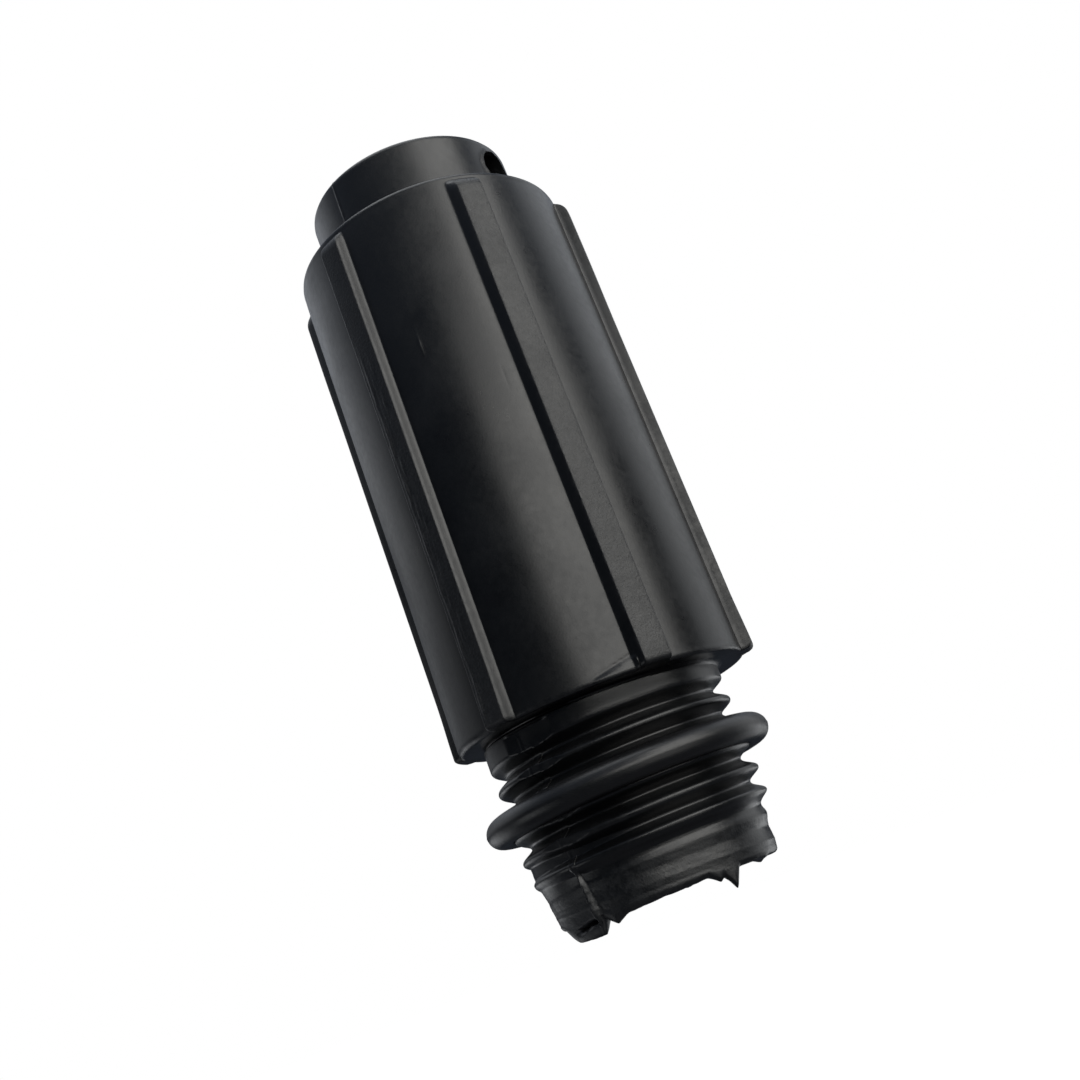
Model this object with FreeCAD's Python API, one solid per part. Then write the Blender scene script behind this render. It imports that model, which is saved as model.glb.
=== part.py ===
import FreeCAD, Part
import math
import os

# Screw-in breather muffler with a check valve, in millimetres.
#
# The axis of the object is Z. The origin is on the axis in the plane of the seat, the flat ring
# under the barrel that meets the port. The barrel and the vent cap stand above it, and the
# threaded spigot hangs below it. The mould's parting plane is XZ, through two opposite ribs.
#
# Gas comes in at the spigot, passes the inlet screen and the demister pad, lifts the valve,
# rises in the diffuser tube, spreads outwards through the felt, passes the notches of the upper
# plate, and leaves through the foam pad and the two vents of the cap.

Vector = FreeCAD.Vector
AXIS = Vector(0, 0, 1)
ORIGIN = Vector(0, 0, 0)

# ---- driving dimensions ----

# port thread, M16 x 1.5 moulded a little under size
THREAD_CREST_RADIUS = 7.93
THREAD_ROOT_RADIUS = 7.15
THREAD_PITCH = 1.5
THREAD_HALF_ANGLE = 30.0
THREAD_ROOT_FLAT = 0.25
THREAD_BOTTOM = -8.3
THREAD_FIRST_CREST = -2.07  # where a crest crosses +X, one turn under the crest at the seat
THREAD_TURNS = 6.25
THREAD_FLAT_DISTANCE = 7.72  # from the axis to the flat that the parting line leaves on the crests
THREAD_FLAT_WIDTH = 4.0

# spigot
NECK_FILLET = 0.2
PILOT_TOP = -9.7
PILOT_TOP_RADIUS = 7.30
PILOT_END_RADIUS = 7.10
SPIGOT_END = -12.3
SPIGOT_END_FILLET = 0.6
MOUTH_BORE_RADIUS = 5.2
PAD_BORE_RADIUS = 4.6
SCREEN_LEDGE = -7.6

# barrel
BARREL_LENGTH = 34.95
BARREL_RADIUS_LOW = 9.64
BARREL_RADIUS_HIGH = 9.6
BARREL_FOOT_FILLET = 0.25
BARREL_RIM_FILLET = 0.3
CAVITY_RADIUS = 6.9
CAVITY_FLOOR = 1.4
CAP_SHOULDER = 29.4
CAP_BORE_RADIUS = 7.37
SNAP_GROOVE_RADIUS = 7.59
SNAP_GROOVE_LOW = 31.5
SNAP_GROOVE_HIGH = 32.3

# grip ribs
RIB_COUNT = 6
RIB_HEIGHT = 0.68
RIB_TOP_WIDTH = 1.68
RIB_STEEP_FLANK = 0.2
RIB_DRAFTED_FLANK = 0.5  # on the sides that face the parting plane, so that the mould can open
RIB_ROOT_DEPTH = 0.8
RIB_RIM_GAP = 0.5
RIB_HEAD_RADIUS = 1.1
RIB_FOOT_RADIUS = 0.35

# vent cap
CAP_RADIUS = 7.35
CAP_INNER_RADIUS = 5.7
CAP_TOP = 40.0
CAP_ROOF = 1.3
CAP_EDGE_FILLET = 0.4
CAP_BEAD_RADIUS = 7.55
CAP_BEAD_LOW = 31.6
CAP_BEAD_HIGH = 32.2
VENT_RADIUS = 1.6
VENT_HEIGHT = 37.6
VENT_AZIMUTH = -79.0

# port O-ring, a 1.9 mm section whose inner side is pressed flat by the crests
RING_SECTION_RADIUS = 0.95
RING_CENTRE_RADIUS = 8.58
RING_BORE_RADIUS = 7.96
RING_HEIGHT = -4.9

# running and assembly gaps
SLIP_GAP = 0.05
VALVE_GAP = 0.02

# pieces in the spigot
SCREEN_THICKNESS = 0.3
SCREEN_PITCH = 1.1
SCREEN_WIRE = 0.36
SCREEN_BORDER = 0.5
SCREEN_RING_HEIGHT = 1.1
SCREEN_RING_WALL = 0.75
PAD_BOTTOM_GAP = 0.4
PAD_TOP = -1.1

# check valve
GASKET_THICKNESS = 0.4
SEAT_FLANGE = 1.0
SEAT_NECK_END = -0.8
SEAT_ORIFICE_RADIUS = 2.4
SEAT_LIP_INNER = 2.9
SEAT_LIP_OUTER = 3.5
SEAT_LIP_HEIGHT = 0.4
SEAL_THICKNESS = 0.6
SEAL_RADIUS = 4.2
POPPET_RADIUS = 4.3
POPPET_THICKNESS = 1.1
POPPET_BOSS_RADIUS = 1.25
STEM_RADIUS = 1.15
STEM_LENGTH = 5.7
STOP_RADIUS = 1.6
VALVE_LIFT = 1.5
CAGE_WALL = 0.95
CAGE_HEIGHT = 7.4
CAGE_HUB_RADIUS = 2.4
CAGE_HUB_HEIGHT = 1.4
CAGE_SPOKE_HEIGHT = 1.0
CAGE_SPOKE_WIDTH = 1.3
CAGE_SPOKE_COUNT = 3
SPRING_WIRE_RADIUS = 0.175
SPRING_MEAN_RADIUS = 2.1
SPRING_TURNS = 4.5

# silencing element
PLATE_THICKNESS = 0.8
PLATE_BOSS_HEIGHT = 1.0
LOWER_PLATE_HOLE_RADIUS = 1.9
TUBE_OUTER_RADIUS = 3.3
TUBE_INNER_RADIUS = 2.6
ELEMENT_LENGTH = 15.4
TUBE_HOLE_RADIUS = 0.5
TUBE_HOLE_ROWS = 9
TUBE_HOLES_AROUND = 8
TUBE_SCREEN_WALL = 0.15
FELT_RADIUS = 6.2
NOTCH_COUNT = 12
NOTCH_WIDTH = 1.6
NOTCH_DEPTH = 0.95
WAVE_COUNT = 3
WAVE_THICKNESS = 0.3
WAVE_INNER_RADIUS = 5.8
WAVE_POINTS = 36
FOAM_TOP = 35.4

# ---- heights that follow from the stack ----

INSERT_RADIUS = CAVITY_RADIUS - SLIP_GAP
SEAT_BOTTOM = CAVITY_FLOOR + GASKET_THICKNESS
SEAT_TOP = SEAT_BOTTOM + SEAT_FLANGE
LIP_TOP = SEAT_TOP + SEAT_LIP_HEIGHT
SEAL_BOTTOM = LIP_TOP + VALVE_GAP
POPPET_BOTTOM = SEAL_BOTTOM + SEAL_THICKNESS
POPPET_TOP = POPPET_BOTTOM + POPPET_THICKNESS
CAGE_TOP = SEAT_TOP + CAGE_HEIGHT
HUB_BOTTOM = CAGE_TOP - CAGE_HUB_HEIGHT
STOP_TOP = HUB_BOTTOM - VALVE_LIFT - VALVE_GAP
ELEMENT_BOTTOM = CAGE_TOP + PLATE_THICKNESS
ELEMENT_TOP = ELEMENT_BOTTOM + ELEMENT_LENGTH
UPPER_PLATE_TOP = ELEMENT_TOP + PLATE_THICKNESS
UPPER_SCREEN_TOP = UPPER_PLATE_TOP + SCREEN_THICKNESS


# ---- shape helpers ----


def corner_arc(before, corner, after, radius):
    """The tangent arc that rounds a corner of an outline: (start, middle, end)."""
    to_before = (before - corner).normalize()
    to_after = (after - corner).normalize()
    half_angle = to_before.getAngle(to_after) / 2
    bisector = (to_before + to_after).normalize()
    setback = radius / math.tan(half_angle)
    centre = corner + bisector * (radius / math.sin(half_angle))
    return corner + to_before * setback, centre - bisector * radius, corner + to_after * setback


def outline_face(corners):
    """A face in the XZ plane from (r, z) corners, or (r, z, radius) where the corner is rounded."""
    points = [Vector(corner[0], 0, corner[1]) for corner in corners]
    radii = [corner[2] if len(corner) > 2 else 0 for corner in corners]
    edges = []
    ends = []
    for index, point in enumerate(points):
        if radii[index]:
            arc = corner_arc(points[index - 1], point, points[(index + 1) % len(points)], radii[index])
            edges.append(Part.Arc(*arc).toShape())
            ends.append((arc[0], arc[2]))
        else:
            ends.append((point, point))
    for index, (start, _) in enumerate(ends):
        edges.append(Part.LineSegment(ends[index - 1][1], start).toShape())
    return Part.Face(Part.Wire(Part.__sortEdges__(edges)))


def turned(corners):
    """A solid of revolution about the object's axis."""
    return outline_face(corners).revolve(ORIGIN, AXIS, 360)


def cylinder(radius, low, high):
    return Part.makeCylinder(radius, high - low, Vector(0, 0, low))


def tube(outer, inner, low, high):
    return turned([(inner, low), (outer, low), (outer, high), (inner, high)])


def around(shape, count, first=0.0):
    """Copies of a shape at equal angles about the axis."""
    copies = []
    for index in range(count):
        copy = shape.copy()
        copy.rotate(ORIGIN, AXIS, first + index * 360.0 / count)
        copies.append(copy)
    return copies


def block(size_x, size_y, low, high, centre_x=0.0, centre_y=0.0):
    corner = Vector(centre_x - size_x / 2, centre_y - size_y / 2, low)
    return Part.makeBox(size_x, size_y, high - low, corner)


def cut_all(shape, tools):
    return shape.cut(Part.makeCompound(tools))


# ---- outside ----


def thread_groove():
    """The helical groove between the crests, right-handed."""
    # the groove runs half a pitch below the crest, and starts well below the lowest full crest
    start = THREAD_FIRST_CREST - 5.5 * THREAD_PITCH
    overshoot = 0.1
    slope = math.tan(math.radians(THREAD_HALF_ANGLE))
    outer = THREAD_CREST_RADIUS + overshoot
    root_half = THREAD_ROOT_FLAT / 2
    outer_half = root_half + (outer - THREAD_ROOT_RADIUS) * slope
    profile = Part.makePolygon(
        [
            Vector(THREAD_ROOT_RADIUS, 0, -root_half),
            Vector(outer, 0, -outer_half),
            Vector(outer, 0, outer_half),
            Vector(THREAD_ROOT_RADIUS, 0, root_half),
            Vector(THREAD_ROOT_RADIUS, 0, -root_half),
        ]
    )
    helix = Part.Wire(Part.makeHelix(THREAD_PITCH, THREAD_TURNS * THREAD_PITCH, THREAD_CREST_RADIUS).Edges)
    groove = helix.makePipeShell([profile], True, True)
    groove.translate(Vector(0, 0, start))
    return groove


def parting_flats():
    """Blocks that shave the crests beside the parting plane, on both sides of the spigot."""
    depth = 1.0
    centre_x = THREAD_FLAT_DISTANCE + depth / 2
    low = THREAD_BOTTOM - 1.0
    high = -NECK_FILLET - 0.05
    flat = block(depth, THREAD_FLAT_WIDTH, low, high, centre_x)
    return around(flat, 2)


def grip_rib(low_flank, high_flank):
    """One rib along +X that follows the barrel's draft, rounded at its upper and lower ends.
    The flanks are the widths of its sloped sides, towards -Y and towards +Y."""
    top = BARREL_LENGTH - RIB_RIM_GAP
    half_top = RIB_TOP_WIDTH / 2

    def section(barrel_radius, height):
        root = barrel_radius - RIB_ROOT_DEPTH
        face = barrel_radius + RIB_HEIGHT
        return Part.makePolygon(
            [
                Vector(root, -half_top - low_flank, height),
                Vector(barrel_radius, -half_top - low_flank, height),
                Vector(face, -half_top, height),
                Vector(face, half_top, height),
                Vector(barrel_radius, half_top + high_flank, height),
                Vector(root, half_top + high_flank, height),
                Vector(root, -half_top - low_flank, height),
            ]
        )

    slope = (BARREL_RADIUS_HIGH - BARREL_RADIUS_LOW) / BARREL_LENGTH
    rib = Part.makeLoft(
        [section(BARREL_RADIUS_LOW, 0), section(BARREL_RADIUS_LOW + slope * top, top)], True, True
    )
    reach = math.hypot(BARREL_RADIUS_LOW + RIB_HEIGHT, half_top)
    inner = BARREL_RADIUS_HIGH - 2 * RIB_ROOT_DEPTH
    envelope = turned(
        [
            (inner, 0),
            (reach, 0, RIB_FOOT_RADIUS),
            (reach + slope * top, top, RIB_HEAD_RADIUS),
            (inner, top),
        ]
    )
    return rib.common(envelope)


def grip_ribs():
    """Two steep-sided ribs on the parting plane and four between them, all at equal angles."""
    step = 360.0 / RIB_COUNT
    on_plane = grip_rib(RIB_STEEP_FLANK, RIB_STEEP_FLANK)
    after_plane = grip_rib(RIB_DRAFTED_FLANK, RIB_STEEP_FLANK)
    before_plane = grip_rib(RIB_STEEP_FLANK, RIB_DRAFTED_FLANK)
    return around(on_plane, 2) + around(after_plane, 2, step) + around(before_plane, 2, 2 * step)


def housing():
    """The barrel, its ribs and the threaded spigot, in one moulding."""
    shell = turned(
        [
            (MOUTH_BORE_RADIUS, SPIGOT_END),
            (PILOT_END_RADIUS, SPIGOT_END, SPIGOT_END_FILLET),
            (PILOT_TOP_RADIUS, PILOT_TOP),
            (THREAD_CREST_RADIUS, THREAD_BOTTOM),
            (THREAD_CREST_RADIUS, 0, NECK_FILLET),
            (BARREL_RADIUS_LOW, 0, BARREL_FOOT_FILLET),
            (BARREL_RADIUS_HIGH, BARREL_LENGTH, BARREL_RIM_FILLET),
            (CAP_BORE_RADIUS, BARREL_LENGTH),
            (CAP_BORE_RADIUS, SNAP_GROOVE_HIGH),
            (SNAP_GROOVE_RADIUS, SNAP_GROOVE_HIGH),
            (SNAP_GROOVE_RADIUS, SNAP_GROOVE_LOW),
            (CAP_BORE_RADIUS, SNAP_GROOVE_LOW),
            (CAP_BORE_RADIUS, CAP_SHOULDER),
            (CAVITY_RADIUS, CAP_SHOULDER),
            (CAVITY_RADIUS, CAVITY_FLOOR),
            (PAD_BORE_RADIUS, CAVITY_FLOOR),
            (PAD_BORE_RADIUS, SCREEN_LEDGE),
            (MOUTH_BORE_RADIUS, SCREEN_LEDGE),
        ]
    )
    # the turned faces close midway between two ribs, away from where the groove starts and ends
    shell.rotate(ORIGIN, AXIS, -180.0 / RIB_COUNT)
    ribbed = shell.fuse(grip_ribs()).removeSplitter()
    return cut_all(ribbed.cut(thread_groove()), parting_flats())


def vent_cap():
    """Closed cap that snaps into the barrel, with a round vent in each side of its stub."""
    roof = CAP_TOP - CAP_ROOF
    cap = turned(
        [
            (0, roof),
            (CAP_INNER_RADIUS, roof),
            (CAP_INNER_RADIUS, CAP_SHOULDER),
            (CAP_RADIUS, CAP_SHOULDER),
            (CAP_RADIUS, CAP_BEAD_LOW),
            (CAP_BEAD_RADIUS, CAP_BEAD_LOW + CAP_BEAD_RADIUS - CAP_RADIUS),
            (CAP_BEAD_RADIUS, CAP_BEAD_HIGH - CAP_BEAD_RADIUS + CAP_RADIUS),
            (CAP_RADIUS, CAP_BEAD_HIGH),
            (CAP_RADIUS, CAP_TOP, CAP_EDGE_FILLET),
            (0, CAP_TOP),
        ]
    )
    vent_start = CAP_INNER_RADIUS - 1.5
    vent_length = CAP_RADIUS - vent_start + 1.0
    vent = Part.makeCylinder(VENT_RADIUS, vent_length, Vector(vent_start, 0, VENT_HEIGHT), Vector(1, 0, 0))
    return cut_all(cap, around(vent, 2, VENT_AZIMUTH))


def port_o_ring():
    section = Part.makeTorus(RING_CENTRE_RADIUS, RING_SECTION_RADIUS, Vector(0, 0, RING_HEIGHT))
    low = RING_HEIGHT - 2 * RING_SECTION_RADIUS
    high = RING_HEIGHT + 2 * RING_SECTION_RADIUS
    return section.cut(cylinder(RING_BORE_RADIUS, low, high))


# ---- spigot bore ----


def wire_screen(radius, low):
    """A woven screen drawn as a grid of square openings inside a plain border."""
    high = low + SCREEN_THICKNESS
    opening = SCREEN_PITCH - SCREEN_WIRE
    clear_radius = radius - SCREEN_BORDER
    steps = int(clear_radius / SCREEN_PITCH) + 1
    openings = []
    for column in range(-steps, steps + 1):
        for row in range(-steps, steps + 1):
            x = column * SCREEN_PITCH
            y = row * SCREEN_PITCH
            if math.hypot(abs(x) + opening / 2, abs(y) + opening / 2) < clear_radius:
                openings.append(block(opening, opening, low - 1, high + 1, x, y))
    return cut_all(cylinder(radius, low, high), openings)


def inlet_screen():
    return wire_screen(MOUTH_BORE_RADIUS - SLIP_GAP, SCREEN_LEDGE - SCREEN_THICKNESS)


def screen_ring():
    outer = MOUTH_BORE_RADIUS - VALVE_GAP
    top = SCREEN_LEDGE - SCREEN_THICKNESS
    return tube(outer, outer - SCREEN_RING_WALL, top - SCREEN_RING_HEIGHT, top)


def demister_pad():
    """Knitted wire pad, a cylinder with softened ends."""
    radius = PAD_BORE_RADIUS - SLIP_GAP
    low = SCREEN_LEDGE + PAD_BOTTOM_GAP
    edge = 0.5
    return turned([(0, low), (radius, low, edge), (radius, PAD_TOP, edge), (0, PAD_TOP)])


# ---- check valve ----


def seat_gasket():
    return tube(INSERT_RADIUS, PAD_BORE_RADIUS, CAVITY_FLOOR, SEAT_BOTTOM)


def valve_seat():
    """Flanged bush with the orifice and the raised lip that the seal closes on."""
    neck_radius = PAD_BORE_RADIUS - SLIP_GAP
    return turned(
        [
            (SEAT_ORIFICE_RADIUS, SEAT_NECK_END),
            (neck_radius, SEAT_NECK_END),
            (neck_radius, SEAT_BOTTOM),
            (INSERT_RADIUS, SEAT_BOTTOM),
            (INSERT_RADIUS, SEAT_TOP),
            (SEAT_LIP_OUTER, SEAT_TOP),
            (SEAT_LIP_OUTER, LIP_TOP),
            (SEAT_LIP_INNER, LIP_TOP),
            (SEAT_ORIFICE_RADIUS, SEAT_TOP),
        ]
    )


def poppet_seal():
    return tube(SEAL_RADIUS, POPPET_BOSS_RADIUS, SEAL_BOTTOM, POPPET_BOTTOM)


def valve_poppet():
    """Disc with a boss for the seal, a guided stem, and the shoulder that stops the lift."""
    edge = 0.2
    return turned(
        [
            (0, SEAL_BOTTOM),
            (POPPET_BOSS_RADIUS, SEAL_BOTTOM),
            (POPPET_BOSS_RADIUS, POPPET_BOTTOM),
            (POPPET_RADIUS, POPPET_BOTTOM, edge),
            (POPPET_RADIUS, POPPET_TOP, edge),
            (STOP_RADIUS, POPPET_TOP),
            (STOP_RADIUS, STOP_TOP),
            (STEM_RADIUS, STOP_TOP),
            (STEM_RADIUS, POPPET_TOP + STEM_LENGTH, edge),
            (0, POPPET_TOP + STEM_LENGTH),
        ]
    )


def valve_cage():
    """Open cup over the valve, with a hub on three spokes that guides the stem."""
    inner = INSERT_RADIUS - CAGE_WALL
    wall = tube(INSERT_RADIUS, inner, SEAT_TOP, CAGE_TOP)
    hub = tube(CAGE_HUB_RADIUS, STEM_RADIUS + SLIP_GAP, HUB_BOTTOM, CAGE_TOP)
    overlap = 0.3
    spoke_length = inner - CAGE_HUB_RADIUS + 2 * overlap
    spoke_centre = (inner + CAGE_HUB_RADIUS) / 2
    spoke_low = CAGE_TOP - CAGE_SPOKE_HEIGHT
    spoke = block(spoke_length, CAGE_SPOKE_WIDTH, spoke_low, CAGE_TOP, spoke_centre)
    return wall.fuse([hub] + around(spoke, CAGE_SPOKE_COUNT)).removeSplitter()


def valve_spring():
    """Compression spring between the poppet's disc and the hub."""
    low = POPPET_TOP + SPRING_WIRE_RADIUS + VALVE_GAP
    high = HUB_BOTTOM - SPRING_WIRE_RADIUS - VALVE_GAP
    helix = Part.makeHelix((high - low) / SPRING_TURNS, high - low, SPRING_MEAN_RADIUS)
    start = Vector(SPRING_MEAN_RADIUS, 0, 0)
    section = Part.Wire(Part.makeCircle(SPRING_WIRE_RADIUS, start, Vector(0, 1, 0)))
    coil = Part.Wire(helix.Edges).makePipeShell([section], True, True)
    coil.translate(Vector(0, 0, low))
    return coil


# ---- silencing element ----


def lower_end_plate():
    """Plate with a hollow boss that centres the diffuser tube and lets the stem rise."""
    boss_radius = TUBE_INNER_RADIUS - SLIP_GAP
    boss_top = ELEMENT_BOTTOM + PLATE_BOSS_HEIGHT
    return turned(
        [
            (LOWER_PLATE_HOLE_RADIUS, CAGE_TOP),
            (INSERT_RADIUS, CAGE_TOP),
            (INSERT_RADIUS, ELEMENT_BOTTOM),
            (boss_radius, ELEMENT_BOTTOM),
            (boss_radius, boss_top),
            (LOWER_PLATE_HOLE_RADIUS, boss_top),
        ]
    )


def diffuser_tube():
    """Tube with rows of radial holes, alternate rows turned by half a step."""
    wall = tube(TUBE_OUTER_RADIUS, TUBE_INNER_RADIUS, ELEMENT_BOTTOM, ELEMENT_TOP)
    row_step = ELEMENT_LENGTH / (TUBE_HOLE_ROWS + 1)
    half_turn = 180.0 / TUBE_HOLES_AROUND
    reach = TUBE_OUTER_RADIUS + 1.0
    drills = []
    for row in range(TUBE_HOLE_ROWS):
        height = ELEMENT_BOTTOM + (row + 1) * row_step
        drill = Part.makeCylinder(TUBE_HOLE_RADIUS, reach, Vector(0, 0, height), Vector(1, 0, 0))
        drills += around(drill, TUBE_HOLES_AROUND, half_turn * (row % 2))
    return cut_all(wall, drills)


def tube_screen():
    """Fine mesh sleeve that keeps felt fibre out of the tube's holes, drawn as a thin wall."""
    inner = TUBE_OUTER_RADIUS + VALVE_GAP
    return tube(inner + TUBE_SCREEN_WALL, inner, ELEMENT_BOTTOM, ELEMENT_TOP)


def felt_sleeve():
    inner = TUBE_OUTER_RADIUS + TUBE_SCREEN_WALL + SLIP_GAP
    edge = 0.4
    low = ELEMENT_BOTTOM + VALVE_GAP
    high = ELEMENT_TOP - VALVE_GAP
    return turned([(inner, low), (FELT_RADIUS, low, edge), (FELT_RADIUS, high, edge), (inner, high)])


def upper_end_plate():
    """Plate that closes the diffuser tube and passes the flow through notches in its rim."""
    boss_radius = TUBE_INNER_RADIUS - SLIP_GAP
    boss_bottom = ELEMENT_TOP - PLATE_BOSS_HEIGHT
    plate = turned(
        [
            (0, boss_bottom),
            (boss_radius, boss_bottom),
            (boss_radius, ELEMENT_TOP),
            (INSERT_RADIUS, ELEMENT_TOP),
            (INSERT_RADIUS, UPPER_PLATE_TOP),
            (0, UPPER_PLATE_TOP),
        ]
    )
    notch_centre = INSERT_RADIUS
    low = ELEMENT_TOP - 1
    notch = block(2 * NOTCH_DEPTH, NOTCH_WIDTH, low, UPPER_PLATE_TOP + 1, notch_centre)
    return cut_all(plate, around(notch, NOTCH_COUNT))


def upper_screen():
    return wire_screen(INSERT_RADIUS, UPPER_PLATE_TOP)


def wave_spring():
    """Wave washer that fills the space between the upper screen and the cap's skirt."""
    middle = (UPPER_SCREEN_TOP + CAP_SHOULDER) / 2
    swing = (CAP_SHOULDER - UPPER_SCREEN_TOP - WAVE_THICKNESS) / 2 - VALVE_GAP

    def wavy_edge(radius, offset):
        points = []
        for index in range(WAVE_POINTS):
            angle = 2 * math.pi * index / WAVE_POINTS
            height = middle + offset + swing * math.cos(WAVE_COUNT * angle)
            points.append(Vector(radius * math.cos(angle), radius * math.sin(angle), height))
        curve = Part.BSplineCurve()
        curve.interpolate(Points=points, PeriodicFlag=True)
        return curve.toShape()

    half = WAVE_THICKNESS / 2
    edges = [
        wavy_edge(INSERT_RADIUS, half),
        wavy_edge(WAVE_INNER_RADIUS, half),
        wavy_edge(WAVE_INNER_RADIUS, -half),
        wavy_edge(INSERT_RADIUS, -half),
    ]
    faces = [Part.makeRuledSurface(edges[index - 1], edges[index]) for index in range(len(edges))]
    shell = Part.makeShell(faces)
    shell.sewShape()
    solid = Part.makeSolid(shell)
    if solid.Volume < 0:
        solid.reverse()
    return solid


def foam_pad():
    radius = CAP_INNER_RADIUS - SLIP_GAP
    edge = 0.5
    low = UPPER_SCREEN_TOP
    return turned([(0, low), (radius, low, edge), (radius, FOAM_TOP, edge), (0, FOAM_TOP)])


# ---- build ----

PIECES = [
    housing,
    vent_cap,
    port_o_ring,
    inlet_screen,
    screen_ring,
    demister_pad,
    seat_gasket,
    valve_seat,
    poppet_seal,
    valve_poppet,
    valve_spring,
    valve_cage,
    lower_end_plate,
    diffuser_tube,
    tube_screen,
    felt_sleeve,
    upper_end_plate,
    upper_screen,
    wave_spring,
    foam_pad,
]

os.makedirs("parts", exist_ok=True)
for piece in PIECES:
    shape = piece()
    assert shape.isValid() and len(shape.Solids) == 1, piece.__name__
    shape.exportStep(f"parts/{piece.__name__}.step")
    print(f"{piece.__name__}: {shape.Volume:.1f} mm3, faces {len(shape.Faces)}")
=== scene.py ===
import math

import bmesh
import bpy
import numpy as np
from mathutils import Matrix, Vector
from mathutils import noise as mnoise


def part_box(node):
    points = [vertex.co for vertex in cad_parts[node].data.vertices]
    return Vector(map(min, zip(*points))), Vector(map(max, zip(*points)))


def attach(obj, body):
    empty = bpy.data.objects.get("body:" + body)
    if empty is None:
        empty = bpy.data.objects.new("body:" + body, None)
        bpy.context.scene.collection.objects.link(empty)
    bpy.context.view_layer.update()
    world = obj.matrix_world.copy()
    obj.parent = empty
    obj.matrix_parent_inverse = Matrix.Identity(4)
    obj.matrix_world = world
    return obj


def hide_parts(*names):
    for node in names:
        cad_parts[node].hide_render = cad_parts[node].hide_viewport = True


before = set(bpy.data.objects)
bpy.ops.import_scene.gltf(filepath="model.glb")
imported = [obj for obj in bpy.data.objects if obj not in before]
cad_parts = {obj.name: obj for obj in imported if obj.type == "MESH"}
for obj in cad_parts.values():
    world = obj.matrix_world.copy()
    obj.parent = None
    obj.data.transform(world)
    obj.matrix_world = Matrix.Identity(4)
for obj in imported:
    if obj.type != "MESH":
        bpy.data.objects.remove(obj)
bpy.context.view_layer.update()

# Screw-in breather muffler. Lengths are in millimetres here and become metres in the meshes.
# Z is the object's axis, the seat is at z 0, and azimuths are in degrees about Z from +X.
MM = 0.001
RNG = np.random.default_rng(489)


def low_high(node):
    low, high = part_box(node)
    return np.array(low) / MM, np.array(high) / MM


HOUSING_LOW, HOUSING_HIGH = low_high("housing")
CAP_LOW, CAP_HIGH = low_high("vent_cap")
RING_LOW, RING_HIGH = low_high("port_o_ring")

# ---- named sizes, as in the CAD source but for the thread's two radii and the ribs' flanks ----

BARREL_TOP = HOUSING_HIGH[2]
BARREL_LOW_RADIUS = 9.64
BARREL_HIGH_RADIUS = 9.6
RIB_HEIGHT = 0.68
RIB_TOP_HALF = 0.84
RIB_PLANE_FLANK = 0.2
RIB_STEEP_FLANK = 0.07
RIB_DRAFTED_FLANK = 0.5
RIB_END = BARREL_TOP - 0.5
RIB_HEAD_RADIUS = 1.1
RIB_FOOT_RADIUS = 0.35
RIB_AZIMUTHS = [0.0, 60.0, 120.0, 180.0, 240.0, 300.0]
# the side of each rib that faces the parting plane: none, towards lower or towards higher azimuth
RIB_DRAFTED_SIDES = [0, -1, 1, 0, -1, 1]
MOUTH_RADIUS = 5.2
PAD_BORE_RADIUS = 4.6
SCREEN_LEDGE = -7.6
SPIGOT_END = HOUSING_LOW[2] + 0.28
CAVITY_RADIUS = 6.9
CAVITY_FLOOR = 1.4
CAP_SHOULDER = CAP_LOW[2]
CAP_BORE_RADIUS = 7.37
CAP_RADIUS = 7.35
CAP_BEAD_RADIUS = 7.55
SNAP_GROOVE_RADIUS = 7.59
CAP_INNER_RADIUS = 5.7
CAP_TOP = CAP_HIGH[2]
CAP_ROOF = 1.3
VENT_RADIUS = 1.6
VENT_HEIGHT = 37.6
VENT_AZIMUTHS = (-79.0, 101.0)
THREAD_PITCH = 1.5
THREAD_CREST_AT_X = -2.07
THREAD_TURNS = 6.25
THREAD_CREST = 7.98
THREAD_ROOT = 7.12
PARTING_FLAT = 7.76
PARTING_FLAT_HALF = 2.0
PARTING_PLANE = (0.0, 180.0)
PARTING_LINES = (177.5, -2.5)  # where the flash runs, a little off the parting plane
FRONT_AZIMUTH = -142.6  # the side of the object that faces the main camera
LEAN_AZIMUTH = 127.4  # the spigot is moulded off the barrel's axis, towards here
LEAN = 0.27

# ---- marks of moulding and handling, with angles to the right of the side facing the camera ----

# nicks and pits in the panels: angle, height, width, length, and how far they stand out
NICKS = (
    (-16.0, 24.0, 0.09, 0.26, 0.10),
    (11.5, 28.1, 0.07, 0.07, -0.04),
    (20.0, 21.0, 0.10, 0.09, -0.03),
    (9.5, 19.9, 0.10, 0.09, -0.03),
)
# teeth of flash that hang from the spigot's end: angle, drop, and half width in degrees
HANGING_FLASH = (
    (31.0, 1.05, 4.6),
    (23.6, 0.42, 5.2),
    (-31.0, 0.46, 6.0),
    (-22.0, 0.20, 16.0),
    (-2.0, 0.08, 20.0),
    (58.0, 0.10, 6.0),
    (118.0, 0.30, 6.0),
    (171.0, 0.22, 8.0),
    (-140.0, 0.26, 5.0),
)
# scuffs beside the parting line on the ribs: offset, width, seed and height
RIB_SCUFFS = (
    (0.30, 0.12, 34, 0.07),
    (0.56, 0.09, 37, 0.06),
    (-0.34, 0.09, 38, 0.03),
)
# places that need extra columns in the mesh: angle and column spacing
FINE_PLACES = (
    (-16.0, 0.5),
    (11.5, 0.5),
    (20.0, 0.6),
    (9.5, 0.6),
    (32.5, 1.6),
    (25.2, 2.0),
    (-31.0, 2.4),
)
LOBE_DROP = 0.92  # the long tongue of flash at the foot of the parting line


def front(angle):
    """The azimuth that lies this many degrees to the right of the side facing the camera."""
    return FRONT_AZIMUTH + angle


def wrap(degrees):
    return (np.asarray(degrees) + 180.0) % 360.0 - 180.0


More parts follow.
